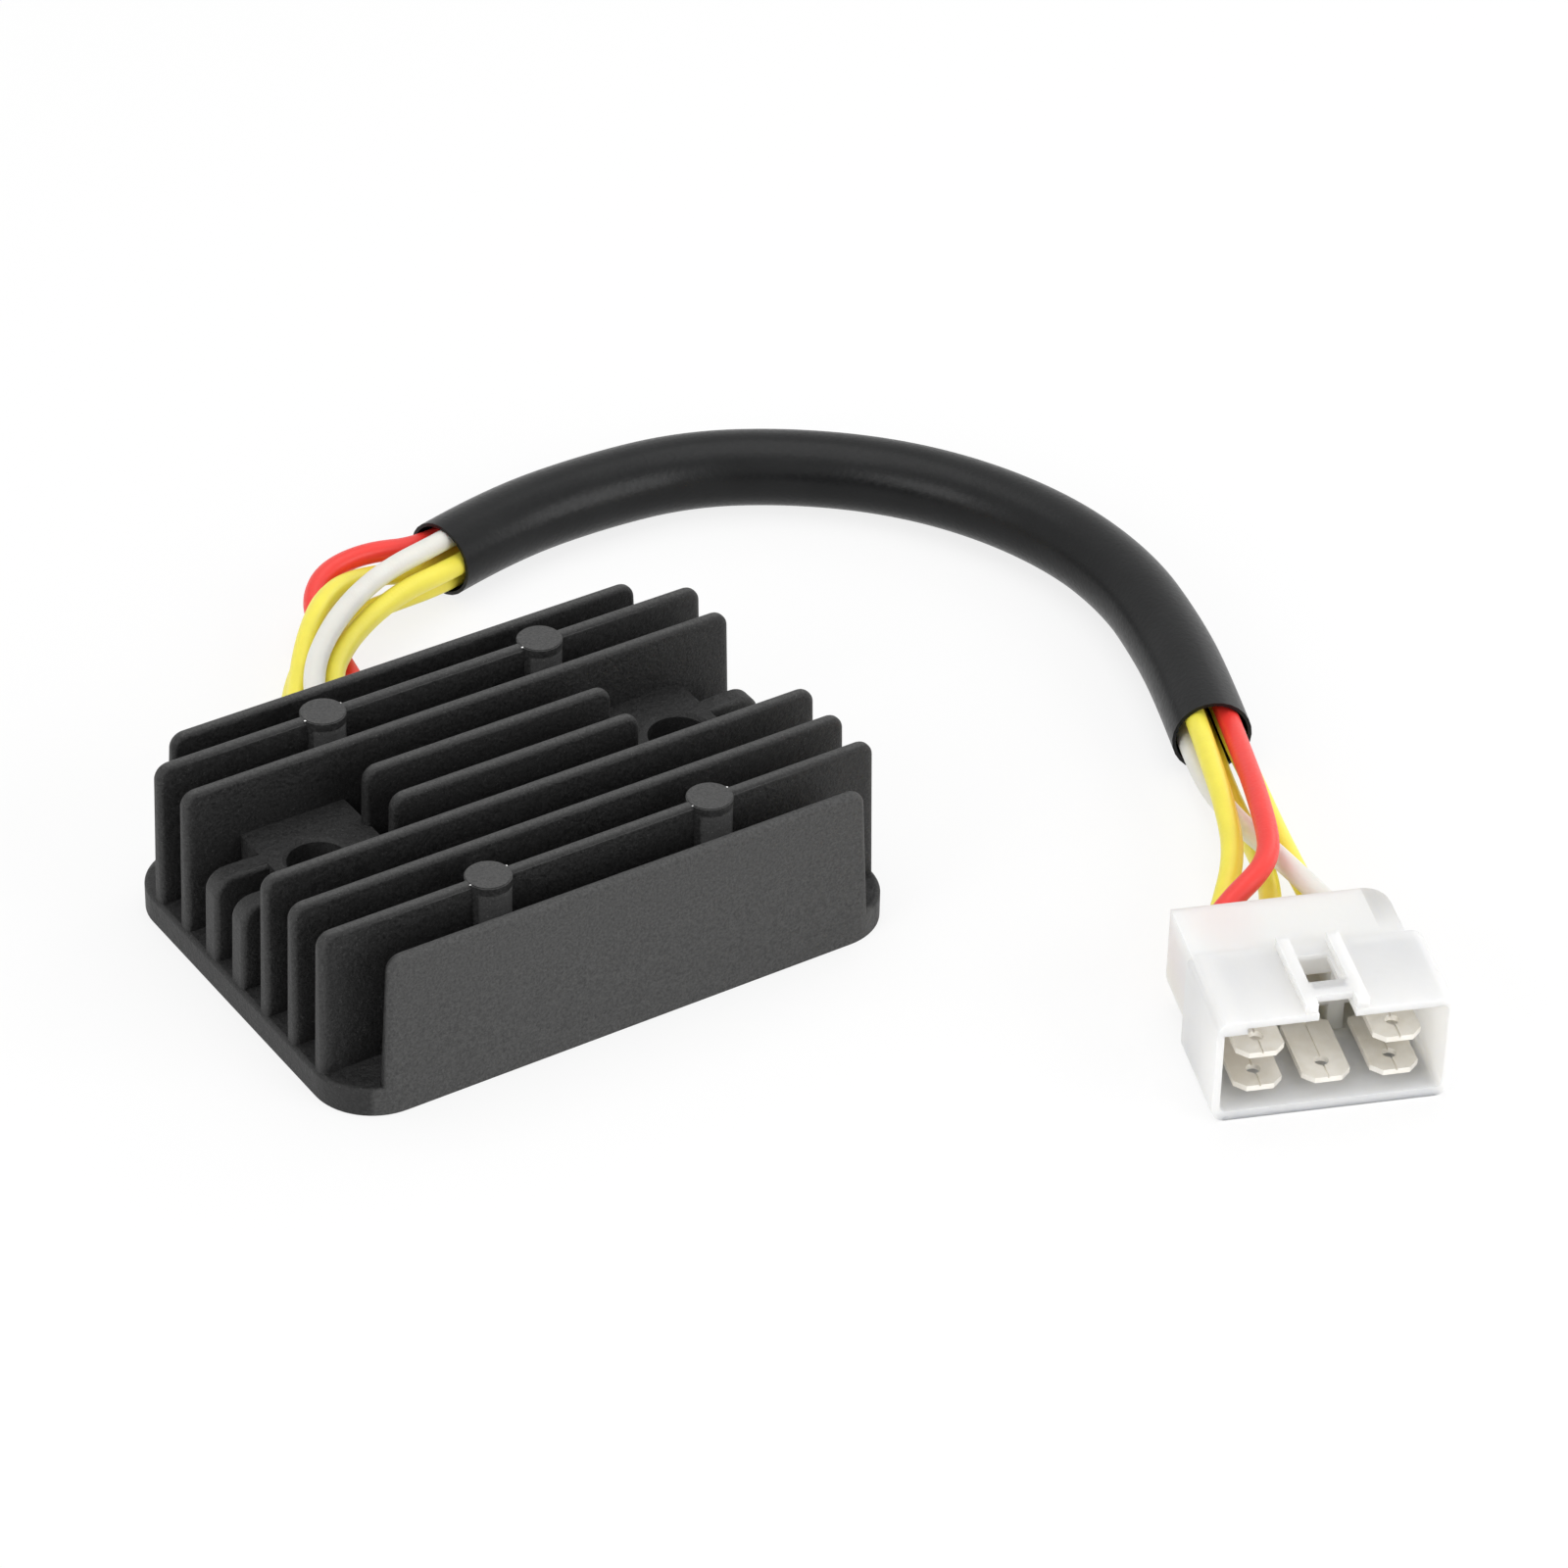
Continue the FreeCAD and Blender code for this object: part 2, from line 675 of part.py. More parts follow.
os.makedirs("parts", exist_ok=True)
for node, shape in build().items():
    shape.exportStep("parts/%s.step" % node)
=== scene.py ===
import json
import math

import bmesh
import bpy
from mathutils import Matrix, Vector

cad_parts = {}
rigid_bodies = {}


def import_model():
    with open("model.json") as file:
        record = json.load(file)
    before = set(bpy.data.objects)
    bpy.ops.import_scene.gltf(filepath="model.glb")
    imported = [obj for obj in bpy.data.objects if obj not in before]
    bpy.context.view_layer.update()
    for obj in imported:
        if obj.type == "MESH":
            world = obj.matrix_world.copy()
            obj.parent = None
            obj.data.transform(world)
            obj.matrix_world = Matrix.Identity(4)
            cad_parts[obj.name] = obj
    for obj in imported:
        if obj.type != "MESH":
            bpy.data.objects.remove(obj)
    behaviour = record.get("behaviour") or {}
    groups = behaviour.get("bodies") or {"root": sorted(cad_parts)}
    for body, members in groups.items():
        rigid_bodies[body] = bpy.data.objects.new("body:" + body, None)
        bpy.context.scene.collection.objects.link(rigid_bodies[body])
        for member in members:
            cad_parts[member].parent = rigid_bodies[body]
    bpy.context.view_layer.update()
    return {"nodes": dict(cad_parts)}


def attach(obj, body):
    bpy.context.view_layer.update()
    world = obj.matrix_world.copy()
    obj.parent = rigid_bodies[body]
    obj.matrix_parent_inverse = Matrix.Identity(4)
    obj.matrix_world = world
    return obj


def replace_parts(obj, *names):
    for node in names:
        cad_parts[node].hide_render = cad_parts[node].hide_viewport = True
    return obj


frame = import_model()

# Camera
# A long lens stands in front of the casting and to its left, and looks down on it.
# Its place and turn were solved from the casting's straight edges.
camera_data = bpy.data.cameras.new("camera")
camera_data.sensor_width = 36.0
camera_data.lens = 144.52
camera_data.clip_end = 10.0
camera = bpy.data.objects.new("camera", camera_data)
camera.location = (-0.33717, -0.57055, 0.48908)
camera.rotation_euler = [math.radians(turn) for turn in (54.701, -1.1008, -32.8343)]
bpy.context.scene.collection.objects.link(camera)
bpy.context.scene.camera = camera
bpy.context.scene.view_settings.view_transform = "Standard"

# Leads
# Five stranded wires in soft PVC insulation. They leave the casting through its grommet,
# run together in a sleeve and end in the connector's crimped terminals.
LEAD_DIAMETER = 0.003

# In millimetres: the leads' bores in the casting, the sleeve's middle line, and the connector.
LEAD_EXIT_Y = 28.5
LEAD_FREE_Y = 36.0
LEAD_COLUMNS = (-1.8, -6.0, -10.2)
UPPER_LEAD = 6.7
LOWER_LEAD = 2.1
SLEEVE_HEIGHT = 5.5
LANE_RADIUS = 3.25
SLEEVE_ROUTE = [(29.4, 69.1), (40.5, 72.2), (56.0, 73.0), (71.0, 71.3), (84.0, 64.6), (95.5, 54.5),
                (103.5, 42.0), (108.0, 27.5), (108.2, 13.0), (104.8, -0.5), (101.0, -11.3),
                (96.3, -22.3)]
CONNECTOR_CORNER = Vector((51.3, -84.5, 0.0))
CONNECTOR_TURN = math.radians(-20.8)
CONNECTOR_REAR = 25.0
LEAD_STRAIGHT = 2.8
LEAD_IN_WAY = 5.2
WAYS_ACROSS = (6.6, 15.5, 24.4)
UPPER_WAY = 8.7
LOWER_WAY = 3.5

# Each lead's bore, its angles round the sleeve's middle line at both mouths, its way in the
# connector, its length in metres, and the places it runs by before and after the sleeve.
LEADS = {
    "red_wire": dict(
        column=0, bore=LOWER_LEAD, lane=(24, 46), way=(0, UPPER_WAY),
        length=0.281,
        first=[(1.8, 43.0, 2.2), (5.6, 50.0, 2.9), (6.4, 58.0, 4.2), (6.9, 65.7, 6.3),
               (11.1, 70.8, 8.0), (18.5, 71.9, 8.7), (28.0, 71.6, 6.6)],
        last=[(103.1, -12.1, 7.8), (98.4, -23.2, 7.8), (94.8, -30.7, 8.6), (91.3, -37.6, 9.8),
              (87.6, -44.6, 10.8), (84.2, -50.8, 11.2), (81.9, -54.0, 11.1), (78.6, -56.4, 10.8),
              (73.2, -58.1, 9.8)]),
    "white_wire": dict(
        column=1, bore=UPPER_LEAD, lane=(99, 206), way=(2, UPPER_WAY),
        length=0.267,
        first=[(-5.1, 43.0, 8.2), (-1.8, 49.4, 9.7), (3.9, 55.1, 10.5), (10.9, 60.5, 10.4),
               (19.0, 65.2, 9.7), (28.8, 68.4, 8.7)],
        last=[(98.3, -10.2, 4.1), (93.6, -21.2, 4.1), (89.9, -30.5, 4.4), (87.7, -39.8, 5.5),
              (86.3, -48.9, 7.0), (85.0, -58.0, 8.1)]),
    "yellow_wire_1": dict(
        column=0, bore=UPPER_LEAD, lane=(174, 131), way=(0, LOWER_WAY),
        length=0.259,
        first=[(-1.4, 43.5, 6.8), (1.3, 50.0, 7.0), (6.5, 55.2, 7.3), (13.1, 59.5, 7.3),
               (20.7, 63.2, 6.9), (29.6, 65.8, 5.8)],
        last=[(99.0, -10.5, 8.0), (94.3, -21.5, 8.0), (89.9, -30.6, 8.6), (85.7, -39.5, 8.6),
              (81.2, -48.0, 7.5), (74.2, -54.7, 5.4)]),
    "yellow_wire_2": dict(
        column=2, bore=LOWER_LEAD, lane=(240, 277), way=(1, LOWER_WAY),
        length=0.271,
        first=[(-7.8, 44.8, 1.7), (-3.5, 53.4, 1.7), (2.5, 60.8, 1.7), (9.6, 66.0, 2.7),
               (18.8, 66.4, 3.1), (29.1, 67.3, 2.7)],
        last=[(101.4, -11.4, 2.3), (96.7, -22.5, 2.3), (92.7, -32.0, 2.1), (89.3, -41.2, 2.3),
              (85.8, -49.7, 3.0), (80.7, -57.1, 3.4)]),
    "yellow_wire_3": dict(
        column=2, bore=UPPER_LEAD, lane=(305, 342), way=(2, LOWER_WAY),
        length=0.278,
        first=[(-8.1, 43.7, 6.1), (-3.5, 50.7, 6.6), (1.8, 57.9, 8.5), (8.8, 64.6, 9.6),
               (17.6, 69.1, 6.8), (28.2, 70.7, 2.8)],
        last=[(103.9, -12.4, 4.5), (99.1, -23.5, 4.5), (95.6, -32.9, 4.6), (92.2, -41.7, 4.4),
              (89.3, -50.3, 4.0), (86.5, -58.9, 3.7)]),
}

# The way of each terminal by its number, which starts from 1 at the connector's upper left.
TERMINALS = [None] + sorted((lead["way"] for lead in LEADS.values()), key=lambda way: (-way[1], way[0]))
INSULATION = {
    "red": (0.90, 0.045, 0.035),
    "white": (0.83, 0.82, 0.76),
    "yellow": (0.95, 0.84, 0.09),
}
NOISE_RANGE = (0.3, 0.7)


def metres(*millimetres):
    return Vector(millimetres) * 0.001


def connector_point(across, back, height):
    """A place in the connector's own frame, in millimetres, as a place in the part."""
    return Matrix.Rotation(CONNECTOR_TURN, 3, "Z") @ Vector((across, back, height)) + CONNECTOR_CORNER


def lane_place(lane, share):
    """Beside and above the sleeve's middle line, at a share of the way along it. The leads turn
    round the line in its middle half; the white one crosses over through the middle meanwhile."""
    start, end = lane
    turned = min(max(2 * share - 0.5, 0), 1)
    angle = start + (end - start) * (1 - math.cos(math.pi * turned)) / 2
    radius = LANE_RADIUS
    if abs(end - start) > 90:
        angle = start if share < 0.5 else end
        radius = LANE_RADIUS * max(abs(2 * share - 1) * 4 - 1, 0) / 3
    return radius * math.cos(math.radians(angle)), radius * math.sin(math.radians(angle))


def lane_points(lane):
    """A lead's places at each point of the sleeve's middle line between its ends' bends."""
    stations = list(zip(SLEEVE_ROUTE, SLEEVE_ROUTE[1:], SLEEVE_ROUTE[2:]))[:-1]
    places = []
    for number, (before, here, after) in enumerate(stations):
        side, rise = lane_place(lane, number / (len(stations) - 1))
        way = (Vector(after) - Vector(before)).normalized()
        places.append((here[0] - way.y * side, here[1] + way.x * side, SLEEVE_HEIGHT + rise))
    return places


def route_of(lead):
    x = LEAD_COLUMNS[lead["column"]]
    across, height = WAYS_ACROSS[lead["way"][0]], lead["way"][1]
    places = [(x, LEAD_EXIT_Y, lead["bore"]), (x, LEAD_FREE_Y, lead["bore"])]
    places += lead["first"] + lane_points(lead["lane"]) + lead["last"]
    places += [connector_point(across, CONNECTOR_REAR + LEAD_STRAIGHT, height),
               connector_point(across, CONNECTOR_REAR - LEAD_IN_WAY, height)]
    return [metres(*place) for place in places]


def smooth_line(name, places):
    """A curve that runs smoothly by the places of a route."""
    line = bpy.data.curves.new(name, "CURVE")
    line.dimensions = "3D"
    line.resolution_u = 10
    spline = line.splines.new("NURBS")
    spline.points.add(len(places) - 1)
    for point, place in zip(spline.points, places):
        point.co = (*place, 1.0)
    spline.order_u = 3
    spline.use_endpoint_u = True
    return line


def new_material(name, **sockets):
    """A material with its shader's own sockets set, and its node tree."""
    material = bpy.data.materials.new(name)
    material.use_nodes = True
    shader = material.node_tree.nodes["Principled BSDF"]
    for socket, value in sockets.items():
        shader.inputs[socket.replace("_", " ")].default_value = value
    return material, material.node_tree, shader


def node(tree, kind, inputs=(), **settings):
    """A node with its settings; an input is a value or another node's socket."""
    made = tree.nodes.new(kind)
    for setting, value in settings.items():
        setattr(made, setting, value)
    for socket, value in dict(inputs).items():
        if isinstance(value, bpy.types.NodeSocket):
            tree.links.new(value, made.inputs[socket])
        else:
            made.inputs[socket].default_value = value
    return made


def place_of(tree):
    """The socket that gives a point's place in the part, in metres."""
    return node(tree, "ShaderNodeTexCoord").outputs["Object"]


def grain(tree, scale, detail=3.0, roughness=0.5, vector=None):
    """Fine noise from 0 to 1, at a scale given in marks to the metre."""
    return node(tree, "ShaderNodeTexNoise", {
        "Vector": vector or place_of(tree), "Scale": scale, "Detail": detail,
        "Roughness": roughness}).outputs["Fac"]


def spread(tree, value, low, high, to_low=0.0, to_high=1.0):
    """A value stretched from one range to another and kept within it."""
    return node(tree, "ShaderNodeMapRange", {
        "Value": value, "From Min": low, "From Max": high,
        "To Min": to_low, "To Max": to_high}).outputs["Result"]


def blend_colours(tree, share, first, second):
    mixed = node(tree, "ShaderNodeMix", data_type="RGBA")
    for index, value in ((0, share), (6, first), (7, second)):
        if isinstance(value, bpy.types.NodeSocket):
            tree.links.new(value, mixed.inputs[index])
        elif index:
            mixed.inputs[index].default_value = (*value, 1.0)
        else:
            mixed.inputs[index].default_value = value
    return mixed.outputs[2]


def paint(tree, shader, share, first, second):
    """Gives a shader a base colour between two colours, by a pattern."""
    tree.links.new(blend_colours(tree, share, first, second), shader.inputs["Base Color"])


def vary_roughness(tree, shader, pattern, low, high):
    tree.links.new(spread(tree, pattern, *NOISE_RANGE, low, high), shader.inputs["Roughness"])


def roughen(tree, shader, height, distance, strength=1.0):
    """Raises the surface of a shader by a height pattern."""
    bump = node(tree, "ShaderNodeBump", {"Height": height, "Distance": distance, "Strength": strength})
    tree.links.new(bump.outputs["Normal"], shader.inputs["Normal"])


def insulation_material(colour_name):
    colour = INSULATION[colour_name]
    material, tree, shader = new_material(
        colour_name + "_insulation", Subsurface_Weight=0.12, Subsurface_Scale=0.001,
        Specular_IOR_Level=0.45, Coat_Weight=0.1, Coat_Roughness=0.25)
    shader.inputs["Subsurface Radius"].default_value = (1.0, 0.6, 0.4)
    cloudy = spread(tree, grain(tree, 260.0), 0.35, 0.7)
    darker = [0.95 * channel for channel in colour]
    paint(tree, shader, cloudy, darker, colour)
    fine = grain(tree, 2600.0, 4.0)
    vary_roughness(tree, shader, fine, 0.34, 0.5)
    roughen(tree, shader, fine, 0.00003)
    return material


insulation = {colour: insulation_material(colour) for colour in INSULATION}
for node_name, lead in LEADS.items():
    colour = node_name.split("_")[0]
    route = route_of(lead)
    line = smooth_line(node_name + "_insulation", route)
    line.bevel_depth = LEAD_DIAMETER / 2
    line.bevel_resolution = 5
    line.use_fill_caps = True
    line.materials.append(insulation[colour])
    piece = bpy.data.objects.new(node_name + "_insulation", line)
    bpy.context.scene.collection.objects.link(piece)
    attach(piece, "root")
    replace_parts(piece, node_name)

# Sleeve
# A length of black vinyl tubing, cut square at both ends, that the leads are pushed through.
# It bends with them and lies loose on them.
SLEEVE_DIAMETER = 0.011
SLEEVE_WALL = 0.0005
MERGE_DISTANCE = 1e-6


def tube_along(name, places, diameter):
    """An open tube without thickness, and the middle line that it follows."""
    bare = smooth_line(name + "_line", places)
    carrier = bpy.data.objects.new(name + "_line", bare)
    middle = bpy.data.meshes.new_from_object(carrier)
    path = [vertex.co.copy() for vertex in middle.vertices]
    bare.bevel_depth = diameter / 2
    bare.bevel_resolution = 12
    skin = bpy.data.meshes.new_from_object(carrier)
    shell = bmesh.new()
    shell.from_mesh(skin)
    bmesh.ops.remove_doubles(shell, verts=shell.verts, dist=MERGE_DISTANCE)
    bmesh.ops.recalc_face_normals(shell, faces=shell.faces)
    for leftover in (carrier, bare, middle, skin):
        owner = bpy.data.objects if isinstance(leftover, bpy.types.Object) else (
            bpy.data.curves if isinstance(leftover, bpy.types.Curve) else bpy.data.meshes)
        owner.remove(leftover)
    return shell, path


def finish_mesh(name, shell, material, angle):
    """Makes a modelled shape an object of the part, smooth up to an angle between its faces."""
    mesh = bpy.data.meshes.new(name)
    shell.to_mesh(mesh)
    shell.free()
    mesh.shade_smooth()
    mesh.set_sharp_from_angle(angle=math.radians(angle))
    mesh.materials.append(material)
    piece = bpy.data.objects.new(name, mesh)
    bpy.context.scene.collection.objects.link(piece)
    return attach(piece, "root")


def sleeve_material():
    material, tree, shader = new_material("sleeve_vinyl", Specular_IOR_Level=0.2)
    cloudy = spread(tree, grain(tree, 120.0), 0.35, 0.7)
    paint(tree, shader, cloudy, (0.006, 0.0063, 0.0066), (0.009, 0.0094, 0.0098))
    fine = grain(tree, 1500.0, 4.0)
    vary_roughness(tree, shader, fine, 0.28, 0.38)
    roughen(tree, shader, fine, 0.00004)
    return material


sleeve_shell, sleeve_path = tube_along(
    "sleeve", [metres(x, y, SLEEVE_HEIGHT) for x, y in SLEEVE_ROUTE], SLEEVE_DIAMETER)
bmesh.ops.solidify(sleeve_shell, geom=sleeve_shell.faces, thickness=SLEEVE_WALL)
sleeve = finish_mesh("sleeve_tubing", sleeve_shell, sleeve_material(), 50.0)
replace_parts(sleeve, "harness_sleeve")

# Casting
# One die casting of aluminium with its fins, blasted and given a matt black coat. The coat is
# painted paler on the outer faces and the fins' ends as painted light, and on the up-facing
# crests and ejector bosses as wear together with a painted highlight.
CASTING_MIDDLE_Y = -0.0007
CREST_HEIGHT = (0.0230, 0.0234)
LEVEL_FACE = (0.7, 0.999)
OUTER_FACE = (0.0278, 0.0282)
FIN_END = (0.0396, 0.0404)
ABOVE_BASE = (0.0045, 0.006)
# How pale the fins' ends are painted, as painted light on them.
END_PAINTED_LIGHT = 0.35
BOSS_ROWS = (0.0203, -0.0217)
BOSS_ACROSS = 0.01635
BOSS_RADIUS = 0.003
DISC_OVERHANG = 0.00005
DISC_TOP = 0.02494
DISC_DEPTH = 0.0012
DISC_ROUND = 0.00015
NIB_HEIGHT = 0.0248
NIB_SHIFT = 0.0006
NIB_SHAPE = (1.4, 0.8, 0.5, 1.0)

# Each nib's row, the side and the edge of its boss, and its radius.
NIBS = ((0, -1, -1, 0.00017), (0, -1, 1, 0.00014), (0, 1, -1, 0.00018),
        (1, -1, -1, 0.00013), (1, -1, 1, 0.00017), (1, 1, 1, 0.00019), (1, 1, -1, 0.00012))


def maths(tree, operation, first, second=0.0):
    """The result of a sum on sockets or numbers."""
    return node(tree, "ShaderNodeMath", {0: first, 1: second}, operation=operation).outputs[0]


def painted_light_and_wear_share(tree):
    """Share of painted light and wear: 1 on the crests and the two long outer faces,
    less on the fins' ends, and 0 elsewhere.
    """
    place = node(tree, "ShaderNodeSeparateXYZ", {"Vector": place_of(tree)}).outputs
    facing = node(tree, "ShaderNodeSeparateXYZ", {
        "Vector": node(tree, "ShaderNodeNewGeometry").outputs["Normal"]}).outputs["Z"]
    crests = maths(tree, "MULTIPLY", spread(tree, place["Z"], *CREST_HEIGHT),
                   spread(tree, facing, *LEVEL_FACE))
    outward = maths(tree, "ABSOLUTE", maths(tree, "SUBTRACT", place["Y"], CASTING_MIDDLE_Y))
    ends = spread(tree, maths(tree, "ABSOLUTE", place["X"]), *FIN_END, 0.0, END_PAINTED_LIGHT)
    ends = maths(tree, "MULTIPLY", ends, spread(tree, place["Z"], *ABOVE_BASE))
    # Painted light on the outer faces and fins' ends; on the up-facing crests, wear together with a painted
    # highlight.
    lit_and_worn = maths(tree, "MAXIMUM", crests, spread(tree, outward, *OUTER_FACE))
    return maths(tree, "MAXIMUM", lit_and_worn, ends)


def casting_material():
    """Black coat with a fine grain and pale specks. It is painted paler on the outer faces and fins'
    ends as painted light, and on the crests as wear with a painted highlight.
    """
    material, tree, shader = new_material("black_casting", Metallic=0.0, Specular_IOR_Level=0.28)
    fine = grain(tree, 2600.0, 4.0, 0.7)
    coarse = grain(tree, 900.0, 2.0)
    shade = spread(tree, fine, 0.35, 0.65)
    body = blend_colours(tree, shade, (0.008, 0.008, 0.008), (0.028, 0.028, 0.028))
    pale = blend_colours(tree, shade, (0.030, 0.030, 0.030), (0.074, 0.074, 0.073))
    # The paler coat is painted light on the outer faces and fins' ends, and wear with a painted highlight on
    # the crests and boss tops.
    coat = blend_colours(tree, painted_light_and_wear_share(tree), body, pale)
    speck = spread(tree, grain(tree, 4200.0, 2.0), 0.64, 0.74, 0.0, 0.6)
    paint(tree, shader, speck, coat, (0.11, 0.11, 0.108))
    vary_roughness(tree, shader, fine, 0.42, 0.6)
    roughen(tree, shader, maths(tree, "ADD", fine, coarse), 0.00016)
    return material


def bare_metal():
    material, tree, shader = new_material("bare_aluminium", Metallic=0.5, Roughness=0.35)
    paint(tree, shader, grain(tree, 6000.0), (0.85, 0.85, 0.84), (0.95, 0.95, 0.94))
    return material


def add_boss_tops(piece):
    """Full round faces on the ejector bosses, with nibs of bare metal where the fins run in."""
    shell = bmesh.new()
    shell.from_mesh(piece.data)
    for row in BOSS_ROWS:
        for side in (-1, 1):
            place = Vector((side * BOSS_ACROSS, row, DISC_TOP - DISC_DEPTH / 2))
            radius = BOSS_RADIUS + DISC_OVERHANG
            made = bmesh.ops.create_cone(shell, cap_ends=True, segments=64, radius1=radius,
                                         radius2=radius, depth=DISC_DEPTH,
                                         matrix=Matrix.Translation(place))
            rims = {edge for vertex in made["verts"] for edge in vertex.link_edges
                    if all(end.co.z > place.z for end in edge.verts)}
            bmesh.ops.bevel(shell, geom=list(rims), offset=DISC_ROUND, segments=2, affect="EDGES")
    for row, side, end, radius in NIBS:
        place = Vector((side * BOSS_ACROSS + end * BOSS_RADIUS * 0.97,
                        BOSS_ROWS[row] + end * NIB_SHIFT, NIB_HEIGHT))
        shape = Matrix.Translation(place) @ Matrix.Diagonal(NIB_SHAPE)
        made = bmesh.ops.create_icosphere(shell, subdivisions=2, radius=radius, matrix=shape)
        for face in {face for vertex in made["verts"] for face in vertex.link_faces}:
            face.material_index = 1
            face.smooth = True
    shell.to_mesh(piece.data)
    shell.free()
    piece.data.set_sharp_from_angle(angle=math.radians(32.0))


def refined_copy(node_name, name, material, angle=35.0):
    """A merged copy of a CAD node that shades smoothly over its round edges."""
    shell = bmesh.new()
    shell.from_mesh(frame["nodes"][node_name].data)
    bmesh.ops.remove_doubles(shell, verts=shell.verts, dist=MERGE_DISTANCE)
    bmesh.ops.dissolve_limit(shell, angle_limit=math.radians(0.3), verts=shell.verts, edges=shell.edges)
    piece = finish_mesh(name, shell, material, angle)
    evened = piece.modifiers.new("flat_faces", "WEIGHTED_NORMAL")
    evened.keep_sharp = True
    evened.weight = 100
    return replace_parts(piece, node_name)


casting = refined_copy("heatsink_housing", "casting", casting_material(), 32.0)
casting.data.materials.append(bare_metal())
add_boss_tops(casting)

# Grommet
# A block of black rubber pressed into a notch in the casting's back wall, with a flange
# outside. Each lead has a bore of its own through it.


def rubber_material():
    material, tree, shader = new_material("grommet_rubber", Specular_IOR_Level=0.35)
    fine = grain(tree, 2200.0, 4.0)
    paint(tree, shader, spread(tree, fine, 0.4, 0.7), (0.016, 0.016, 0.016), (0.03, 0.03, 0.03))
    vary_roughness(tree, shader, fine, 0.6, 0.8)
    roughen(tree, shader, fine, 0.00005)
    return material


grommet = refined_copy("cable_grommet", "grommet", rubber_material())

# Resin
# Black epoxy is poured into the cavity in the casting's underside, over the circuit. It sets
# with a glossy, slightly wavy surface.


def dress(node_name, material):
    """Gives a CAD node its material in the scene."""
    piece = frame["nodes"][node_name]
    piece.data.materials.clear()
    piece.data.materials.append(material)
    return piece


def resin_material():
    material, tree, shader = new_material("potting_resin", Specular_IOR_Level=0.5, Coat_Weight=0.6,
                                          Coat_Roughness=0.06)
    wave = grain(tree, 90.0, 1.0)
    paint(tree, shader, wave, (0.008, 0.008, 0.009), (0.02, 0.02, 0.021))
    vary_roughness(tree, shader, grain(tree, 900.0), 0.12, 0.28)
    roughen(tree, shader, wave, 0.0006)
    return material


dress("potting_fill", resin_material())

# Circuit
# The board, the power devices pressed on their insulating sheet, and the control parts are
# sealed in the resin, so nothing of them shows.


def board_material():
    material, tree, shader = new_material("circuit_laminate", Roughness=0.35)
    weave = node(tree, "ShaderNodeTexWave", {"Vector": place_of(tree), "Scale": 900.0, "Distortion": 1.0})
    paint(tree, shader, weave.outputs["Fac"], (0.02, 0.14, 0.05), (0.03, 0.2, 0.07))
    return material


def device_material():
    material, tree, shader = new_material("moulded_device", Specular_IOR_Level=0.4)
    fine = grain(tree, 3000.0)
    paint(tree, shader, fine, (0.018, 0.018, 0.019), (0.03, 0.03, 0.031))
    vary_roughness(tree, shader, fine, 0.5, 0.7)
    return material


def sheet_material():
    material, tree, shader = new_material("insulating_pad", Roughness=0.7)
    paint(tree, shader, grain(tree, 1800.0), (0.45, 0.47, 0.5), (0.55, 0.57, 0.6))
    return material


dress("circuit_board", board_material())
dress("thermal_pad", sheet_material())
moulded = device_material()
devices = ["%s_%d" % (kind, number) for kind in ("thyristor", "rectifier_diode") for number in (1, 2, 3)]
for node_name in devices + ["control_capacitor", "control_diode", "control_resistor_1", "control_resistor_2"]:
    dress(node_name, moulded)

# Connector housing
# A six-way housing moulded in natural nylon. The plastic is milky. The colour of the leads
# seen through its walls is painted into it as a glow round each way.
NYLON = (0.83, 0.825, 0.805)
PAINTED_GLOW_BACK = 0.0235
PAINTED_GLOW_STRETCH = (1.0, 0.55, 1.0)
PAINTED_GLOW_REACH = (0.003, 0.0085)
PAINTED_GLOW_SHARE = 0.16


def connector_place(tree):
    """A point's place in the connector's own frame, in metres."""
    moved = node(tree, "ShaderNodeVectorMath", {0: place_of(tree), 1: CONNECTOR_CORNER * -0.001},
                 operation="ADD")
    return node(tree, "ShaderNodeVectorRotate", {"Vector": moved.outputs[0], "Angle": -CONNECTOR_TURN},
                rotation_type="Z_AXIS").outputs[0]


def nylon_material():
    material, tree, shader = new_material(
        "natural_nylon", Roughness=0.38, Specular_IOR_Level=0.4, Subsurface_Weight=1.0,
        Subsurface_Scale=0.006)
    shader.inputs["Subsurface Radius"].default_value = (1.0, 0.95, 0.85)
    place = connector_place(tree)
    colour = NYLON
    for node_name, lead in LEADS.items():
        across = WAYS_ACROSS[lead["way"][0]] * 0.001
        height = lead["way"][1] * 0.001
        lead_glow = INSULATION[node_name.split("_")[0]]
        # Painted light: the lead's colour is blended into the nylon round its way, standing in for the lead
        # seen through the milky wall.
        near = node(tree, "ShaderNodeVectorMath", {
            0: place, 1: (-across, -PAINTED_GLOW_BACK, -height)}, operation="ADD")
        squeezed = node(tree, "ShaderNodeVectorMath", {
            0: near.outputs[0], 1: PAINTED_GLOW_STRETCH}, operation="MULTIPLY")
        away = node(tree, "ShaderNodeVectorMath", {0: squeezed.outputs[0]}, operation="LENGTH")
        share = spread(tree, away.outputs["Value"], *PAINTED_GLOW_REACH, PAINTED_GLOW_SHARE, 0.0)
        colour = blend_colours(tree, share, colour, lead_glow)
    tree.links.new(colour, shader.inputs["Base Color"])
    roughen(tree, shader, grain(tree, 900.0, 2.0), 0.00003)
    return material


housing = refined_copy("connector_housing", "nylon_housing", nylon_material(), 30.0)

# Terminals
# Blade terminals stamped from tinned brass strip, folded double so that a seam runs down the
# middle, and crimped on the leads' ends.


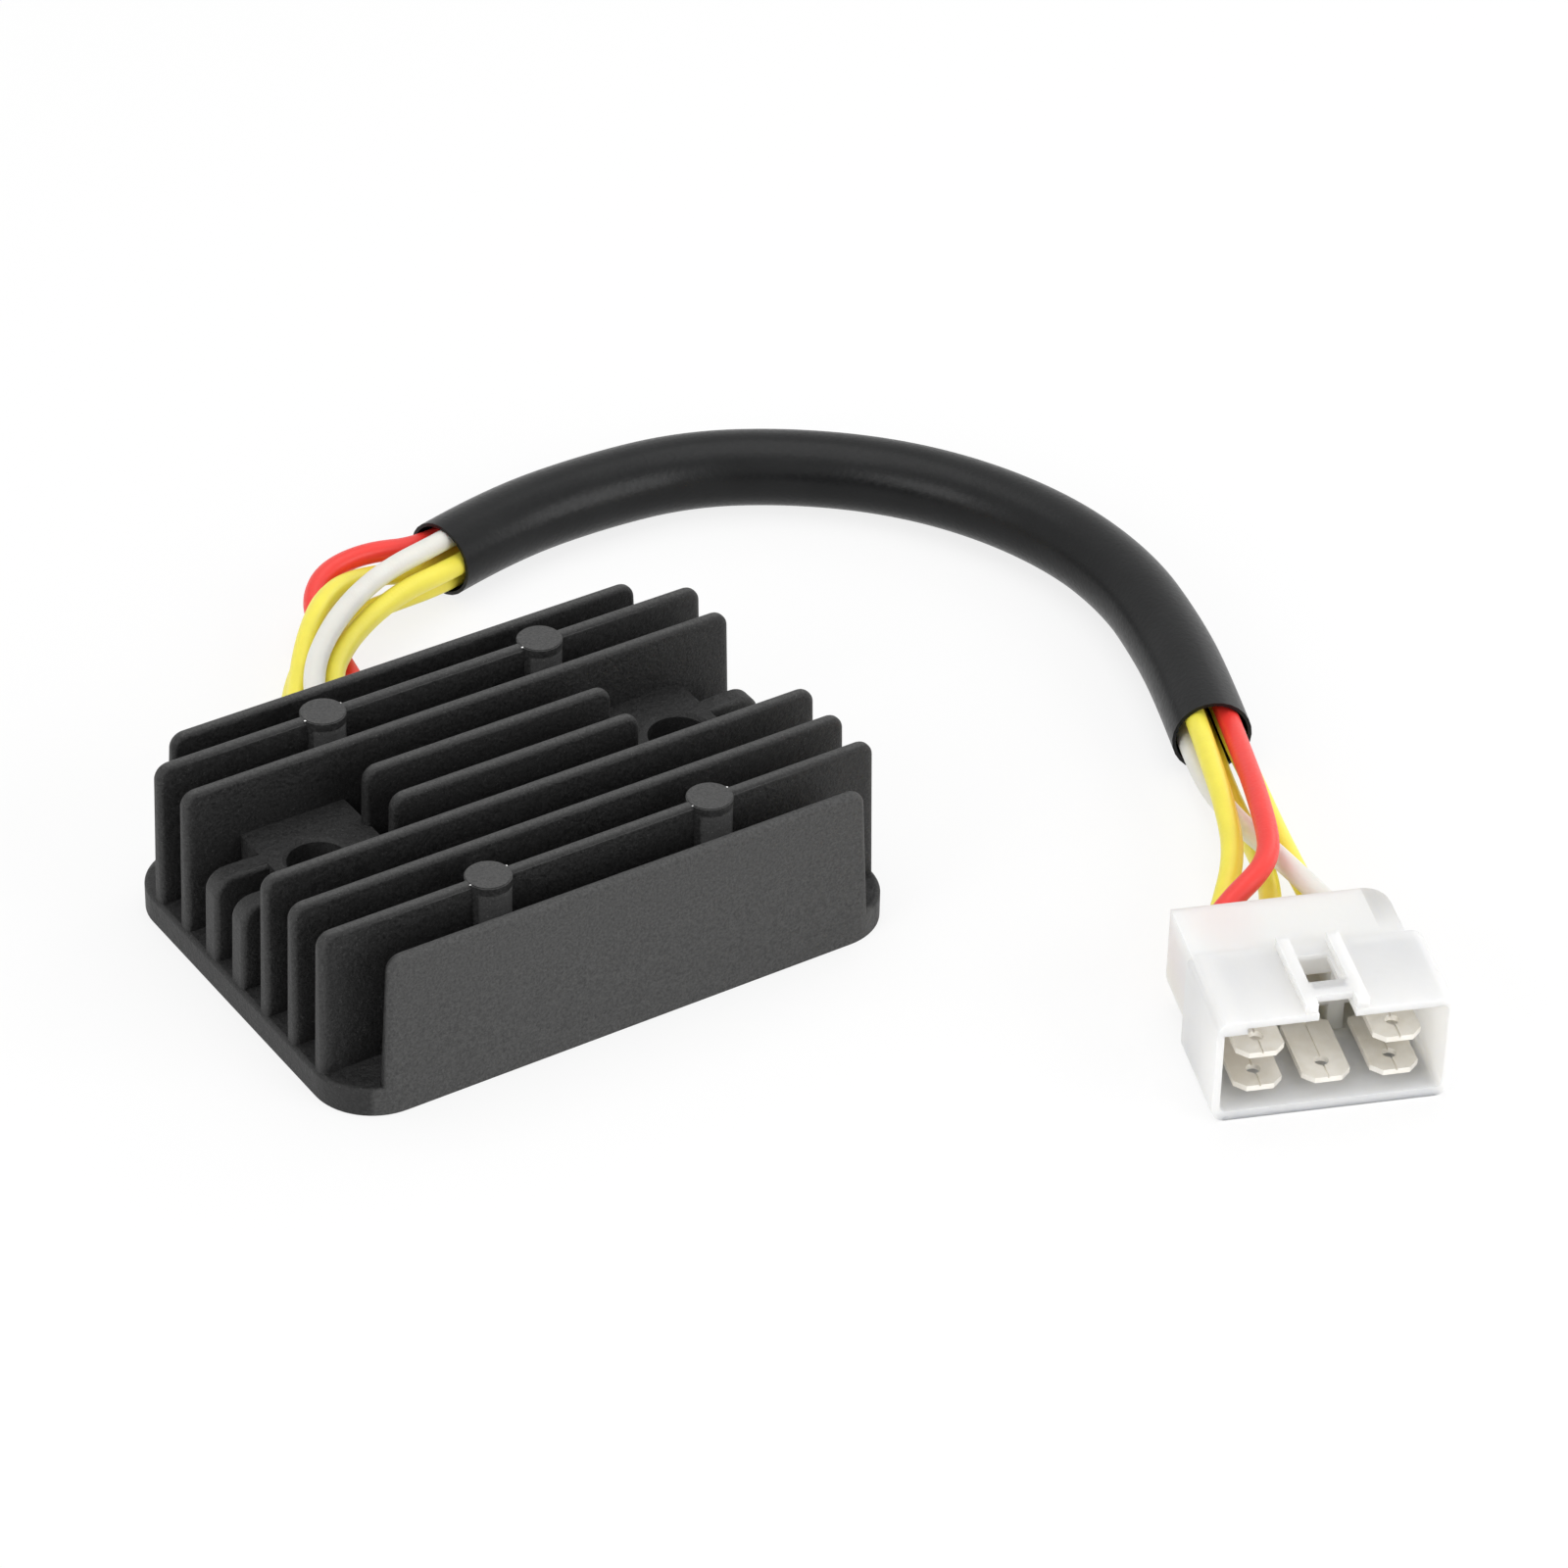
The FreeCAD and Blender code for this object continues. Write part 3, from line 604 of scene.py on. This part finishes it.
def terminal_material():
    material, tree, shader = new_material("tinned_brass", Metallic=0.45, Specular_IOR_Level=0.5)
    drawn = node(tree, "ShaderNodeMapping", {"Vector": connector_place(tree), "Scale": (1.0, 0.05, 1.0)})
    lines = grain(tree, 5000.0, 3.0, 0.6, drawn.outputs[0])
    stain = grain(tree, 420.0, 3.0)
    paint(tree, shader, spread(tree, stain, 0.35, 0.7), (0.90, 0.86, 0.78), (0.98, 0.95, 0.89))
    vary_roughness(tree, shader, lines, 0.3, 0.5)
    roughen(tree, shader, lines, 0.00002)
    return material


tinned = terminal_material()
for number in range(1, len(TERMINALS)):
    dress("tab_terminal_%d" % number, tinned)

# Floor and light
# A white table, and soft light from above, in front and both sides. The table lies a hair
# below the part, so that their faces don't coincide.
FLOOR_SIZE = 6.0
FLOOR_HEIGHT = -0.00005
FLOOR_GLOW = 0.8
ROOM_LIGHT = 0.45
ROOM_SEEN = 1.0
AIM = Vector((0.03, 0.0, 0.0))


def seen_directly(tree):
    """1 for rays that the camera, a reflection or a clear body sends out, and 0 for the rest."""
    ray = node(tree, "ShaderNodeLightPath").outputs
    seen = maths(tree, "MAXIMUM", ray["Is Camera Ray"], ray["Is Glossy Ray"])
    return maths(tree, "MAXIMUM", seen, ray["Is Transmission Ray"])


def floor_material():
    """White to the camera, and still darkened by the part's shadow."""
    material, tree, shader = new_material("white_table", Base_Color=(0.95, 0.95, 0.95, 1.0), Roughness=0.9)
    share = maths(tree, "MULTIPLY", seen_directly(tree), FLOOR_GLOW)
    glow = node(tree, "ShaderNodeEmission", {"Color": (1.0, 1.0, 1.0, 1.0), "Strength": 1.0})
    mixed = node(tree, "ShaderNodeMixShader", {0: share, 1: shader.outputs[0], 2: glow.outputs[0]})
    tree.links.new(mixed.outputs[0], tree.nodes["Material Output"].inputs["Surface"])
    return material


table = bmesh.new()
bmesh.ops.create_grid(table, x_segments=1, y_segments=1, size=FLOOR_SIZE / 2,
                      matrix=Matrix.Translation((0.0, 0.0, FLOOR_HEIGHT)))
table_mesh = bpy.data.meshes.new("table")
table.to_mesh(table_mesh)
table.free()
table_mesh.materials.append(floor_material())
floor = bpy.data.objects.new("table", table_mesh)
bpy.context.scene.collection.objects.link(floor)

# Each lamp's place, its size, and its power in watts.
LAMPS = {
    "front": ((0.55, -1.0, 0.42), 0.8, 6.6),
    "top": ((0.05, 0.1, 1.0), 0.9, 4.2),
    "left": ((-1.0, -0.2, 0.5), 0.6, 4.0),
    "right": ((1.0, 0.2, 0.5), 0.6, 1.5),
}
for lamp_name, (place, size, power) in LAMPS.items():
    lamp_data = bpy.data.lights.new(lamp_name, "AREA")
    lamp_data.size = size
    lamp_data.energy = power
    lamp = bpy.data.objects.new(lamp_name, lamp_data)
    lamp.location = place
    lamp.rotation_euler = (AIM - Vector(place)).to_track_quat("-Z", "Y").to_euler()
    bpy.context.scene.collection.objects.link(lamp)

world = bpy.data.worlds.new("studio")
world.use_nodes = True
bpy.context.scene.world = world
sky = world.node_tree.nodes["Background"]
sky.inputs["Color"].default_value = (1.0, 1.0, 1.0, 1.0)
sky_level = spread(world.node_tree, seen_directly(world.node_tree), 0.0, 1.0, ROOM_LIGHT, ROOM_SEEN)
world.node_tree.links.new(sky_level, sky.inputs["Strength"])
